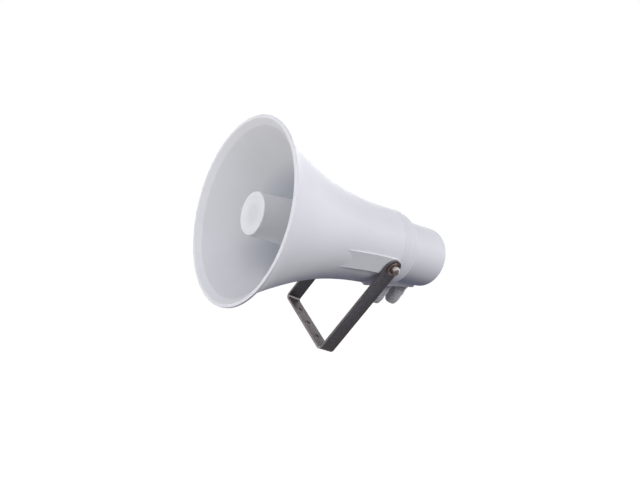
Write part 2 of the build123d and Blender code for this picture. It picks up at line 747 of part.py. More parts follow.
with BuildPart() as transformer_strap:
    with BuildSketch(Plane(origin=mouth_centre - horn_up * core_drop, x_dir=rearward, z_dir=-horn_up)):
        with BuildLine():
            strap_out = core_width / 2 + strap_thickness
            strap_back = core_rear + strap_thickness
            foot_out = strap_out + strap_foot
            foot_top = pillar_front + strap_thickness
            Polyline((pillar_front, foot_out), (pillar_front, core_width / 2), (core_rear, core_width / 2),
                     (core_rear, -core_width / 2), (pillar_front, -core_width / 2), (pillar_front, -foot_out),
                     (foot_top, -foot_out), (foot_top, -strap_out), (strap_back, -strap_out),
                     (strap_back, strap_out), (foot_top, strap_out), (foot_top, foot_out), close=True)
        make_face()
    extrude(amount=core_height / 2 - strap_margin, both=True)
    with BuildSketch(station(core_rear)):
        with Locations((0, -core_drop)):
            Rectangle(window_pitch + window_width + 0.4, bobbin_height + 0.8)
    extrude(amount=strap_thickness, mode=Mode.SUBTRACT)
    with BuildSketch(station(pillar_front)):
        with Locations((-(strap_out + strap_foot / 2), -core_drop), (strap_out + strap_foot / 2, -core_drop)):
            Circle(housing_screw_radius - 0.3 + screw_clearance)
    extrude(amount=strap_thickness, mode=Mode.SUBTRACT)
transformer_strap.part.label = "transformer_strap"
export_step(transformer_strap.part, "parts/transformer_strap.step")

# Terminal block on the chassis plate
terminal_pitch = terminal_width / terminal_count
terminal_places = [((k - (terminal_count - 1) / 2) * terminal_pitch, 0) for k in range(terminal_count)]
terminal_top = terminal_rise + terminal_height
with BuildPart() as terminal_block:
    with BuildSketch(station(pillar_front)):
        with Locations((0, terminal_rise + terminal_height / 2)):
            Rectangle(terminal_width, terminal_height)
    extrude(amount=terminal_depth)
    fillet(terminal_block.edges().filter_by(horn_axis), radius=0.6)
    with BuildSketch(station(pillar_front + terminal_depth)):
        with Locations(*[(x, terminal_rise + terminal_height * 0.35) for x, y in terminal_places]):
            Circle(terminal_bore_radius)
    extrude(amount=-terminal_depth * 0.7, mode=Mode.SUBTRACT)
    with BuildSketch(Plane(origin=mouth_centre + horn_up * terminal_top, x_dir=(-1, 0, 0), z_dir=horn_up)):
        with Locations(*[(x, -(pillar_front + terminal_depth * 0.55)) for x, y in terminal_places]):
            Circle(terminal_screw_radius + 0.3)
    extrude(amount=-terminal_height * 0.4, mode=Mode.SUBTRACT)
terminal_block.part.label = "terminal_block"
export_step(terminal_block.part, "parts/terminal_block.step")

# Pivot hardware on each side, from the brass insert out to the bolt head
leg_inside = bracket_half_width - bracket_thickness
washer_hole = bolt_radius + washer_hole_gap
flat_washer_out = bracket_half_width + flat_washer_thickness
spring_washer_out = flat_washer_out + spring_washer_thickness
for name, side in sides:
    with BuildPart() as threaded_insert:
        with BuildSketch(side_plane(side, boss_face - insert_setback)):
            Circle(insert_radius - 0.05)
            Circle(bolt_radius + 0.05, mode=Mode.SUBTRACT)
        extrude(amount=-insert_length)
    threaded_insert.part.label = f"threaded_insert_{name}"
    export_step(threaded_insert.part, f"parts/threaded_insert_{name}.step")

    with BuildPart() as friction_washer:
        with BuildSketch(side_plane(side, boss_face)):
            Circle(friction_washer_radius)
            Circle(washer_hole, mode=Mode.SUBTRACT)
        extrude(amount=friction_washer_thickness)
    friction_washer.part.label = f"friction_washer_{name}"
    export_step(friction_washer.part, f"parts/friction_washer_{name}.step")

    with BuildPart() as flat_washer:
        with BuildSketch(side_plane(side, bracket_half_width)):
            Circle(flat_washer_radius)
            Circle(washer_hole, mode=Mode.SUBTRACT)
        extrude(amount=flat_washer_thickness)
        fillet(flat_washer.faces().sort_by(Axis.X)[-1 if side > 0 else 0].edges().sort_by(SortBy.RADIUS)[-1],
               radius=flat_washer_thickness * 0.3)
    flat_washer.part.label = f"flat_washer_{name}"
    export_step(flat_washer.part, f"parts/flat_washer_{name}.step")

    with BuildPart() as spring_washer:
        with BuildSketch(side_plane(side, flat_washer_out)):
            Circle(spring_washer_radius)
            Circle(washer_hole, mode=Mode.SUBTRACT)
            with Locations(Location((spring_washer_radius, 0), 0)):
                Rectangle(spring_washer_radius * 2 - washer_hole, spring_washer_slit, rotation=35,
                          mode=Mode.SUBTRACT)
        extrude(amount=spring_washer_thickness)
    spring_washer.part.label = f"spring_washer_{name}"
    export_step(spring_washer.part, f"parts/spring_washer_{name}.step")

    with BuildPart() as pivot_bolt:
        with BuildSketch(side_plane(side, spring_washer_out)):
            RegularPolygon(radius=bolt_head_across_flats / 2, side_count=6, major_radius=False, rotation=12)
        extrude(amount=bolt_head_height)
        with BuildSketch(side_plane(side, spring_washer_out)):
            Circle(bolt_radius)
        extrude(amount=-bolt_length)
        shank_end = pivot_bolt.faces().sort_by(Axis.X)[0 if side > 0 else -1].edges()
        chamfer(shank_end, length=0.5)
    pivot_bolt.part.label = f"pivot_bolt_{name}"
    export_step(pivot_bolt.part, f"parts/pivot_bolt_{name}.step")

# Bracket: one steel strip bent to a U, its leg ends rounded about the pivot
leg_end_radius = bracket_strip_width / 2
leg_top = pivot_height + leg_end_radius
with BuildPart() as mounting_bracket:
    with BuildSketch(Plane.XZ):
        with BuildLine():
            FilletPolyline((-bracket_half_width, leg_top), (-bracket_half_width, 0), (bracket_half_width, 0),
                           (bracket_half_width, leg_top), radius=bracket_bend_radius)
            Line((bracket_half_width, leg_top), (leg_inside, leg_top))
            FilletPolyline((leg_inside, leg_top), (leg_inside, bracket_thickness),
                           (-leg_inside, bracket_thickness), (-leg_inside, leg_top),
                           radius=bracket_bend_radius - bracket_thickness)
            Line((-leg_inside, leg_top), (-bracket_half_width, leg_top))
        make_face()
    extrude(amount=bracket_strip_width / 2, both=True)
    leg_corners = mounting_bracket.edges().filter_by(Axis.X).group_by(Axis.Z)[-1]
    fillet(leg_corners, radius=leg_end_radius - 0.1)
    with BuildSketch(Plane.YZ.offset(-bracket_half_width)):
        with Locations((0, pivot_height)):
            Circle(bolt_radius + bolt_running_gap)
    extrude(amount=2 * bracket_half_width, mode=Mode.SUBTRACT)
    with BuildSketch(Plane.XY):
        with GridLocations(fixing_hole_spacing, 0, 3, 1):
            Circle(fixing_hole_radius)
    extrude(amount=bracket_thickness, mode=Mode.SUBTRACT)
mounting_bracket.part.label = "mounting_bracket"
export_step(mounting_bracket.part, "parts/mounting_bracket.step")
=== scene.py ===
import math
import bmesh
import bpy
from mathutils import Matrix, Vector


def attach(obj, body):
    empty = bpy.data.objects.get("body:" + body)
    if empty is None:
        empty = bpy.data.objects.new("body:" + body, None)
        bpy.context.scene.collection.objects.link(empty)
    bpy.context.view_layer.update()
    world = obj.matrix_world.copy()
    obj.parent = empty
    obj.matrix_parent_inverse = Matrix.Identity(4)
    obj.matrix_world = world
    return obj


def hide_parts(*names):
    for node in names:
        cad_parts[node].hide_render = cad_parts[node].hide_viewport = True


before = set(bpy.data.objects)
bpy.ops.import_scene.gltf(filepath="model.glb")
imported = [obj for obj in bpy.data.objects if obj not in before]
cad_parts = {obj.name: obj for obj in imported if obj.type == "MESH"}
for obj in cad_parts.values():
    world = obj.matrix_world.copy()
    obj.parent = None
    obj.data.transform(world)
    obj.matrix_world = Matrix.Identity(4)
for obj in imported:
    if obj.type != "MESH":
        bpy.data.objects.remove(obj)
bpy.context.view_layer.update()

print("frame loaded:", len(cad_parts), "nodes")

# The bell's axis leans down from level, as the bracket stands upright
hornAxis = {
    "lean": math.radians(9.74),
    "pivotHeight": 0.1394,
    "pivotToMouth": 0.1959,
}
rearward = Vector((0, math.cos(hornAxis["lean"]), math.sin(hornAxis["lean"])))
hornUp = Vector((0, -math.sin(hornAxis["lean"]), math.cos(hornAxis["lean"])))
mouthCentre = Vector((0, 0, hornAxis["pivotHeight"])) - rearward * hornAxis["pivotToMouth"]


def rgb(red, green, blue):
    # 0 to 255 as on a screen, turned into the linear values that a socket takes
    def linear(level):
        share = level / 255
        return share / 12.92 if share < 0.04045 else ((share + 0.055) / 1.055) ** 2.4
    return (linear(red), linear(green), linear(blue), 1)


# A socket that can stand in sums; each operator adds its Math node
class Wire:
    def __init__(self, graph, socket):
        self.graph = graph
        self.socket = socket

    def math(self, operation, *values):
        return self.graph.node("ShaderNodeMath", {"operation": operation}, dict(enumerate(values)))

    def __add__(self, other):
        return self.math("ADD", self, other)

    def __radd__(self, other):
        return self.math("ADD", other, self)

    def __sub__(self, other):
        return self.math("SUBTRACT", self, other)

    def __rsub__(self, other):
        return self.math("SUBTRACT", other, self)

    def __mul__(self, other):
        return self.math("MULTIPLY", self, other)

    def __rmul__(self, other):
        return self.math("MULTIPLY", other, self)

    def __pow__(self, other):
        return self.math("POWER", self, other)

    def __abs__(self):
        return self.math("ABSOLUTE", self)

    def atLeast(self, least):
        return self.math("MAXIMUM", self, least)

    def __gt__(self, other):
        return self.math("GREATER_THAN", self, other)

    def __lt__(self, other):
        return self.math("LESS_THAN", self, other)


# The nodes of a material or world: each comes from node(), settings first, then sockets
class Graph:
    def __init__(self, tree):
        self.tree = tree

    def node(self, kind, settings, sockets, output=0):
        made = self.tree.nodes.new(kind)
        for name, value in settings.items():
            setattr(made, name, value)
        for name, value in sockets.items():
            self.plug(made.inputs[name], value)
        return Wire(self, made.outputs[output])

    def plug(self, slot, value):
        if isinstance(value, Wire):
            self.tree.links.new(value.socket, slot)
        else:
            slot.default_value = value

    # The first colour where the factor is 0, the second where it is 1; 6, 7 and 2 are the node's colour sockets
    def mix(self, factor, first, second):
        return self.node("ShaderNodeMix", {"data_type": "RGBA"}, {0: factor, 6: first, 7: second}, 2)

    # How far a value is through a span, held at both ends; a falling span turns it round
    def ramp(self, value, span, levels=(0.0, 1.0)):
        return self.node("ShaderNodeMapRange", {}, {"Value": value, "From Min": span[0], "From Max": span[1],
                                                    "To Min": levels[0], "To Max": levels[1]})

    # 1 for rays that look at the backdrop: from the camera, off a gloss or through something clear
    def looking(self):
        camera, glossy, through = [self.node("ShaderNodeLightPath", {}, {}, f"Is {kind} Ray")
                                   for kind in ("Camera", "Glossy", "Transmission")]
        return camera + glossy + through


# A material under construction
class Finish(Graph):
    def __init__(self, name):
        self.material = bpy.data.materials.new(name)
        self.material.use_nodes = True
        super().__init__(self.material.node_tree)
        self.place = self.node("ShaderNodeTexCoord", {}, {}, "Object")

    def surface(self, sockets):
        for name, value in sockets.items():
            self.plug(self.tree.nodes["Principled BSDF"].inputs[name], value)
        return self.material

    # The three parts of a vector: to the side, along and up
    def axes(self, vector):
        split = self.node("ShaderNodeSeparateXYZ", {}, {"Vector": vector})
        return [Wire(self, socket) for socket in split.socket.node.outputs]

    # The same, turned about X so that the second runs along a leaning axis
    def leaningAxes(self, vector, lean, origin=(0, 0, 0)):
        return self.axes(self.node("ShaderNodeMapping", {"vector_type": "TEXTURE"},
                                   {"Vector": vector, "Location": origin, "Rotation": (lean, 0, 0)}))

    # Side, station behind the mouth and rise above the horn's axis
    def hornPlace(self):
        return self.leaningAxes(self.place, hornAxis["lean"], mouthCentre)

    # The way that the surface faces, in the same directions
    def hornFacing(self):
        return self.leaningAxes(self.node("ShaderNodeTexCoord", {}, {}, "Normal"), hornAxis["lean"])

    # Smooth noise, with places stretched by a scale on each axis
    def noise(self, scale, detail, stretch=(1, 1, 1)):
        spot = self.node("ShaderNodeVectorMath", {"operation": "MULTIPLY"}, {0: self.place, 1: stretch})
        return self.node("ShaderNodeTexNoise", {}, {"Vector": spot, "Scale": scale, "Detail": detail}, "Fac")

    def bump(self, height, strength, distance, under=None):
        sockets = {"Height": height, "Strength": strength, "Distance": distance}
        if under:
            sockets["Normal"] = under
        return self.node("ShaderNodeBump", {}, sockets, "Normal")


# Moulded plastic: cloudy tone, fine tooling grain and a gloss that changes slightly, under any dirt, painted light
# and painted shade laid over it
mouldingLook = {
    "detail": 2.0, "cloudSpan": (0.3, 0.7), "fleckSpan": (0.62, 0.75), "roughDrift": 0.1,
    "grainDistance": 0.0003, "waveDetail": 1.0, "waveDistance": 0.001,
}


def mouldedPlastic(name, look, toneOverlay=None):
    finish = Finish(name)
    cloud = finish.noise(look["cloudScale"], look["detail"])
    fleck = finish.noise(look["grainScale"], look["detail"])
    swell = finish.noise(look["waveScale"], look["waveDetail"])
    tone = finish.mix(finish.ramp(cloud, look["cloudSpan"]), look["colour"], look["shade"])
    tone = finish.mix(finish.ramp(fleck, look["fleckSpan"]) * look["fleck"], tone, look["speck"])
    if toneOverlay:
        tone = toneOverlay(finish, look, tone)
    grain = finish.bump(fleck, look["grain"], look["grainDistance"])
    wave = finish.bump(swell, look["wave"], look["waveDistance"], grain)
    rough = look["rough"] + (cloud - 0.5) * look["roughDrift"]
    return finish.surface({"Base Color": tone, "Roughness": rough, "Normal": wave,
                           "Specular IOR Level": look["gloss"]})


# Worked metal: grain along one axis, dull stains and small bright rubs, under any painted shade laid over it
metalLook = {
    "detail": 4.0, "stretch": (1, 1, 1), "grainSpan": (0.35, 0.65), "stainSpan": (0.42, 0.66),
    "spotDetail": 3.0, "spotSpan": (0.66, 0.74), "stainRough": 0.12, "grainRough": 0.08, "grainDistance": 0.0002,
}


def workedMetal(name, look, toneOverlay=None):
    finish = Finish(name)
    grain = finish.noise(look["grainScale"], look["detail"], look["stretch"])
    cloud = finish.noise(look["cloudScale"], look["detail"])
    spot = finish.noise(look["spotScale"], look["spotDetail"])
    stain = finish.ramp(cloud, look["stainSpan"])
    tone = finish.mix(finish.ramp(grain, look["grainSpan"]), look["dark"], look["colour"])
    tone = finish.mix(stain * look["stainAmount"], tone, look["stain"])
    tone = finish.mix(finish.ramp(spot, look["spotSpan"]) * look["spotAmount"], tone, look["spot"])
    if toneOverlay:
        tone = toneOverlay(finish, look, tone)
    return finish.surface({
        "Base Color": tone, "Metallic": look["metallic"],
        "Roughness": look["rough"] + stain * look["stainRough"] + grain * look["grainRough"],
        "Normal": finish.bump(grain, look["depth"], look["grainDistance"]),
    })


# Soft rubber with a dusty bloom
rubberLook = {
    "colour": rgb(34, 34, 35), "bloom": rgb(58, 57, 56), "bloomScale": 300, "detail": 4.0, "bloomSpan": (0.4, 0.7),
    "rough": 0.7, "bloomRough": 0.15, "depth": 0.15, "grainDistance": 0.0002,
}
gasketLook = dict(rubberLook, colour=rgb(222, 222, 225), bloom=rgb(214, 214, 217))


def softRubber(name, look):
    finish = Finish(name)
    bloom = finish.noise(look["bloomScale"], look["detail"])
    return finish.surface({
        "Base Color": finish.mix(finish.ramp(bloom, look["bloomSpan"]), look["colour"], look["bloom"]),
        "Roughness": look["rough"] + bloom * look["bloomRough"],
        "Normal": finish.bump(bloom, look["depth"], look["grainDistance"]),
    })


# Bell: painted light near its mouth and on its upper inner face, painted shade on its inner face towards the throat
# and underneath, and greyer where it faces up
bellLook = dict(mouldingLook, **{
    "colour": rgb(222, 222, 224), "shade": rgb(217, 217, 219), "speck": rgb(206, 207, 209),
    "cloudScale": 14, "grainScale": 2600, "waveScale": 40,
    "fleck": 0.25, "grain": 0.08, "wave": 0.03, "rough": 0.6, "gloss": 0.12,
    "dust": rgb(176, 184, 194), "dustSpan": (0.056, 0.086), "dustAmount": 0.55,
    "bleached": rgb(236, 236, 238), "bleachSpan": (0.140, 0.050), "bleachAmount": 0.35, "sunSpan": (-0.060, 0.090),
    "under": rgb(126, 130, 184), "underSpan": (-0.28, -0.70), "underAmount": 0.5,
    "settled": rgb(186, 188, 186), "settleSpan": (0.70, 0.88), "settleAmount": 0.22,
})


# Painted shade, bluish, on what faces the ground, and a greyer tone on what faces the sky
def shadeBelowGreyAbove(finish, look, tone, outRise, share):
    high = finish.ramp(outRise, look["settleSpan"])
    low = finish.ramp(outRise, look["underSpan"])
    tone = finish.mix(high * look["settleAmount"] * share, tone, look["settled"])
    # Painted shade on what faces the ground
    return finish.mix(low * look["underAmount"] * share, tone, look["under"])


def bellLightAndShade(finish, look, tone):
    side, station, rise = finish.hornPlace()
    outSide, _, outRise = finish.hornFacing()
    inside = (side * outSide + rise * outRise) < 0
    upperInside = finish.ramp(rise, look["sunSpan"])  # painted light: inside, only the upper part is lit
    # Painted light towards the mouth, all round outside and on the upper part inside
    mouthHighlightMask = finish.ramp(station, look["bleachSpan"]) * look["bleachAmount"] * (1 - inside * (1 - upperInside))
    depth = finish.ramp(station, look["dustSpan"])
    tone = finish.mix(mouthHighlightMask, tone, look["bleached"])
    # Painted shade on the inner face, deeper towards the throat
    tone = finish.mix(inside * depth * look["dustAmount"], tone, look["dust"])
    return shadeBelowGreyAbove(finish, look, tone, outRise, 1 - inside)


# Rear housing: the same plastic, a little greyer, with stronger painted shade below
housingLook = dict(bellLook, colour=rgb(216, 216, 219), shade=rgb(211, 211, 214), speck=rgb(200, 201, 204),
                   underAmount=0.6)


def housingShadeBelowGreyAbove(finish, look, tone):
    return shadeBelowGreyAbove(finish, look, tone, finish.hornFacing()[2], 1)


# Cup: painted shade in the dish of its face, lighter towards the rim
cupLook = dict(bellLook, colour=rgb(229, 229, 231), shade=rgb(224, 224, 226), speck=rgb(212, 213, 215),
               faceDepth=0.0185, dust=rgb(196, 196, 200), dustScale=90, dustDetail=3.0, dustSpread=0.006,
               dishSpan=(0.0105, 0.0195), dishLevels=(1.0, 0.3), dustAmount=0.5)


def dishShade(finish, look, tone):
    side, station, rise = finish.hornPlace()
    reach = (side * side + rise * rise) ** 0.5
    cloud = finish.noise(look["dustScale"], look["dustDetail"])
    # Painted shade, darkest in the middle of the dish
    dish = finish.ramp(reach + cloud * look["dustSpread"], look["dishSpan"], look["dishLevels"])
    return finish.mix((station < look["faceDepth"]) * dish * look["dustAmount"], tone, look["dust"])


# Glands: blotchy grime, and painted shade thick where they meet the sloping cable platform
glandLook = dict(mouldingLook, **{
    "colour": rgb(208, 206, 208), "shade": rgb(194, 192, 196), "speck": rgb(140, 136, 142),
    "cloudScale": 420, "grainScale": 1500, "waveScale": 300,
    "fleck": 0.5, "grain": 0.2, "wave": 0.08, "rough": 0.55, "gloss": 0.2,
    "platformLean": math.radians(17.43), "platformUp": 0.0789,
    "grime": rgb(112, 106, 116), "grimeScale": 700, "grimeDetail": 3.0, "grimeSpread": 0.004,
    "grimeSpan": (0.011, 0.005), "grimeAmount": 0.85, "blotSpan": (0.5, 0.64), "blotAmount": 0.3,
})


def blotsAndCollarShade(finish, look, tone):
    up = finish.leaningAxes(finish.place, look["platformLean"])[2]
    cloud = finish.noise(look["grimeScale"], look["grimeDetail"])
    below = look["platformUp"] - up + cloud * look["grimeSpread"]
    tone = finish.mix(finish.ramp(cloud, look["blotSpan"]) * look["blotAmount"], tone, look["grime"])
    # Painted shade on the collar, next to the platform
    return finish.mix(finish.ramp(below, look["grimeSpan"]) * look["grimeAmount"], tone, look["grime"])


# Bracket: mill grain along each flat, rubbed edges with painted highlight, painted shade on one long edge, painted
# highlight on each bend, and a dusty brown bloom on the cross bar
stripLook = {
    "colour": rgb(98, 98, 108), "dark": rgb(64, 64, 75), "grime": rgb(42, 41, 45), "stain": rgb(88, 80, 80),
    "bloom": rgb(126, 115, 118), "pale": rgb(168, 158, 156), "pitAndShade": rgb(38, 34, 36),
    "grainScale": 1300, "stretch": 0.12, "cloudScale": 60, "detail": 4.0, "pepperScale": 600, "pepperDetail": 3.0,
    "grainSpan": (0.32, 0.68), "grimeSpan": (0.1, 0.00833), "grimeAmount": 0.6,
    "shadeSpread": 0.004, "shadeSpan": (-0.004, 0.0135), "shadeAmount": 0.8,
    "stainSpan": (0.42, 0.66), "stainAmount": 0.25, "barTop": 0.0034, "bloomAmount": 0.66,
    "paleSpan": (0.55, 0.68), "paleAmount": 0.5, "pitFrom": 0.45, "pitAmount": 0.6,
    "wearAndHighlightSpread": 0.0007, "wearAndHighlightSpan": (0.0110, 0.0115), "wearAndHighlightAmount": 0.7, "legDull": 0.5,
    "bendHighlightSide": (0.0502, 0.0523), "bendHighlightHeight": (0.0020, 0.0052), "bendHighlightAmount": 0.85,
    "metallic": 0.7, "barDull": 0.35, "rough": 0.42, "cloudRough": 0.12, "grainRough": 0.08, "barRough": 0.15,
    "grainShare": 0.6, "pepperShare": 0.4, "depth": 0.25, "grainDistance": 0.0002,
}


def agedStrip(name, look):
    finish = Finish(name)
    side, across, height = finish.axes(finish.place)
    onBar = height < look["barTop"]
    legGrain = finish.noise(look["grainScale"], look["detail"], (1, 1, look["stretch"]))
    barGrain = finish.noise(look["grainScale"], look["detail"], (look["stretch"], 1, 1))
    grain = legGrain * (1 - onBar) + barGrain * onBar
    cloud = finish.noise(look["cloudScale"], look["detail"])
    pepper = finish.noise(look["pepperScale"], look["pepperDetail"])
    # Distance from the strip's middle line, which ends at the pivot
    overPivot = (height - hornAxis["pivotHeight"]).atLeast(0.0)
    reach = (across * across + overPivot * overPivot) ** 0.5
    wearAndHighlight = finish.ramp(reach + cloud * look["wearAndHighlightSpread"], look["wearAndHighlightSpan"])
    tone = finish.mix(finish.ramp(grain, look["grainSpan"]), look["dark"], look["colour"])
    # Darker towards the bottom
    tone = finish.mix(finish.ramp(height, look["grimeSpan"]) * look["grimeAmount"], tone, look["grime"])
    # Painted shade: one long edge is darker than the other
    shaded = finish.ramp(across + cloud * look["shadeSpread"], look["shadeSpan"])
    tone = finish.mix(shaded * look["shadeAmount"], tone, look["pitAndShade"])
    tone = finish.mix(finish.ramp(cloud, look["stainSpan"]) * look["stainAmount"], tone, look["stain"])
    tone = finish.mix(onBar * look["bloomAmount"], tone, look["bloom"])
    tone = finish.mix(finish.ramp(pepper, look["paleSpan"]) * look["paleAmount"], tone, look["pale"])
    tone = finish.mix((pepper > look["pitFrom"]) * look["pitAmount"], tone, look["pitAndShade"])
    # Rubbed edge wear with painted highlight: pale only on the unshaded edge
    edgeWearAndHighlight = wearAndHighlight * look["wearAndHighlightAmount"] * (1 - (1 - onBar) * look["legDull"]) * (1 - shaded)
    tone = finish.mix(edgeWearAndHighlight, tone, look["pale"])
    # Painted highlight on each bend
    bendHighlight = look["bendHighlightAmount"]
    for value, (low, high) in ((abs(side), look["bendHighlightSide"]), (height, look["bendHighlightHeight"])):
        bendHighlight = bendHighlight * (value > low) * (value < high)
    tone = finish.mix(bendHighlight, tone, look["pale"])
    relief = grain * look["grainShare"] + pepper * look["pepperShare"]
    rough = look["rough"] + cloud * look["cloudRough"] + grain * look["grainRough"] + onBar * look["barRough"]
    return finish.surface({
        "Base Color": tone, "Roughness": rough, "Metallic": look["metallic"] - onBar * look["barDull"],
        "Normal": finish.bump(relief, look["depth"], look["grainDistance"]),
    })


# Pivot bolts: painted highlight on the upper rim and flats, brown stains, and painted shade on the face of the head
# and on its lower side
boltLook = {
    "colour": rgb(186, 178, 175), "dark": rgb(134, 122, 120), "stain": rgb(112, 80, 70), "pale": rgb(240, 238, 236),
    "grime": rgb(52, 44, 45), "grainScale": 1500, "cloudScale": 420, "detail": 3.0, "grainSpan": (0.35, 0.65),
    "upperSpread": 0.003, "upperSpan": (0.0005, 0.0035), "faceFrom": 0.0616, "rimFrom": 0.0040,
    "stainSpan": (0.45, 0.62), "stainAmount": 0.85, "grimeAmount": 0.5, "paintedLowShade": 0.6, "wearAndHighlightAmount": 0.85,
    "metallic": 0.6, "rough": 0.3, "cloudRough": 0.2, "depth": 0.15, "grainDistance": 0.0002,
}


def weatheredBolt(name, look):
    finish = Finish(name)
    side, across, height = finish.axes(finish.place)
    rise = height - hornAxis["pivotHeight"]
    reach = (across * across + rise * rise) ** 0.5
    grain = finish.noise(look["grainScale"], look["detail"])
    cloud = finish.noise(look["cloudScale"], look["detail"])
    upper = finish.ramp(rise + cloud * look["upperSpread"], look["upperSpan"])
    wearAndHighlight = (reach > look["rimFrom"]) * upper
    tone = finish.mix(finish.ramp(grain, look["grainSpan"]), look["dark"], look["colour"])
    tone = finish.mix(finish.ramp(cloud, look["stainSpan"]) * look["stainAmount"], tone, look["stain"])
    # Painted shade over the face of the head
    tone = finish.mix((abs(side) > look["faceFrom"]) * look["grimeAmount"], tone, look["grime"])
    # Painted shade on the lower side
    tone = finish.mix((1 - upper) * look["paintedLowShade"], tone, look["grime"])
    # Painted highlight on the upper rim and flats
    tone = finish.mix(wearAndHighlight * look["wearAndHighlightAmount"], tone, look["pale"])
    return finish.surface({
        "Base Color": tone, "Roughness": look["rough"] + cloud * look["cloudRough"], "Metallic": look["metallic"],
        "Normal": finish.bump(grain, look["depth"], look["grainDistance"]),
    })


# Washers: stained, with painted black shade on the upper side away from the mouth
washerLook = dict(metalLook, **{
    "colour": rgb(134, 120, 114), "dark": rgb(86, 76, 72), "stain": rgb(108, 72, 58), "spot": rgb(196, 186, 178),
    "grainScale": 1600, "cloudScale": 300, "spotScale": 900,
    "stainAmount": 0.7, "spotAmount": 0.4, "rough": 0.34, "depth": 0.15, "metallic": 0.7,
    "grime": rgb(30, 26, 27), "grimeScale": 500, "grimeDetail": 3.0, "grimeSpread": 0.006, "upShare": 0.5,
    "grimeSpan": (0.0035, 0.0070), "grimeAmount": 0.9,
})


def washerUpperShade(finish, look, tone):
    _, across, height = finish.axes(finish.place)
    cloud = finish.noise(look["grimeScale"], look["grimeDetail"])
    away = across + (height - hornAxis["pivotHeight"]) * look["upShare"] + cloud * look["grimeSpread"]
    # Painted shadow: black on the upper side away from the mouth
    return finish.mix(finish.ramp(away, look["grimeSpan"]) * look["grimeAmount"], tone, look["grime"])


# Screws and the metal and plastic pieces inside
screwLook = dict(metalLook, **{
    "colour": rgb(188, 184, 182), "dark": rgb(150, 144, 140), "stain": rgb(128, 108, 98), "spot": rgb(220, 216, 212),
    "grainScale": 1600, "cloudScale": 240, "spotScale": 900,
    "stainAmount": 0.5, "spotAmount": 0.3, "rough": 0.3, "depth": 0.15, "metallic": 0.85,
})
zincLook = dict(metalLook, **{
    "colour": rgb(182, 184, 188), "dark": rgb(150, 152, 158), "stain": rgb(160, 154, 140), "spot": rgb(210, 212, 215),
    "grainScale": 900, "cloudScale": 80, "spotScale": 500,
    "stainAmount": 0.3, "spotAmount": 0.3, "rough": 0.35, "depth": 0.1, "metallic": 0.95,
})
ferriteLook = dict(metalLook, **{
    "colour": rgb(58, 58, 60), "dark": rgb(44, 44, 46), "stain": rgb(66, 62, 58), "spot": rgb(92, 92, 94),
    "grainScale": 1800, "cloudScale": 90, "spotScale": 700,
    "stainAmount": 0.3, "spotAmount": 0.3, "rough": 0.6, "depth": 0.2, "metallic": 0.15,
})
brassLook = dict(metalLook, **{
    "colour": rgb(204, 170, 96), "dark": rgb(172, 138, 70), "stain": rgb(132, 100, 56), "spot": rgb(226, 200, 140),
    "stretch": (0.2, 1, 1), "grainScale": 1600, "cloudScale": 180, "spotScale": 800,
    "stainAmount": 0.4, "spotAmount": 0.3, "rough": 0.3, "depth": 0.15, "metallic": 1.0,
})
copperLook = dict(metalLook, **{
    "colour": rgb(190, 112, 66), "dark": rgb(140, 72, 40), "stain": rgb(120, 58, 34), "spot": rgb(220, 150, 100),
    "grainScale": 1500, "cloudScale": 200, "spotScale": 800,
    "stainAmount": 0.3, "spotAmount": 0.3, "rough": 0.35, "depth": 0.3, "metallic": 0.9,
})
castLook = dict(metalLook, **{
    "colour": rgb(170, 171, 173), "dark": rgb(140, 141, 144), "stain": rgb(120, 120, 120), "spot": rgb(196, 197, 199),
    "grainScale": 1200, "cloudScale": 120, "spotScale": 600,
    "stainAmount": 0.3, "spotAmount": 0.3, "rough": 0.5, "depth": 0.35, "metallic": 0.85,
})
innerLook = dict(glandLook, colour=rgb(58, 58, 61), shade=rgb(50, 50, 53), speck=rgb(72, 72, 75))
terminalLook = dict(glandLook, colour=rgb(206, 205, 198), shade=rgb(196, 195, 188), speck=rgb(176, 175, 168))
nylonLook = dict(glandLook, colour=rgb(224, 222, 212), shade=rgb(214, 212, 202), speck=rgb(196, 194, 184))
filmLook = dict(glandLook, colour=rgb(178, 122, 48), shade=rgb(164, 108, 40), speck=rgb(140, 88, 30))
domeLook = dict(glandLook, colour=rgb(122, 74, 40), shade=rgb(108, 64, 34), speck=rgb(84, 48, 24))
wrapLook = dict(glandLook, colour=rgb(206, 172, 70), shade=rgb(194, 158, 60), speck=rgb(168, 132, 48))

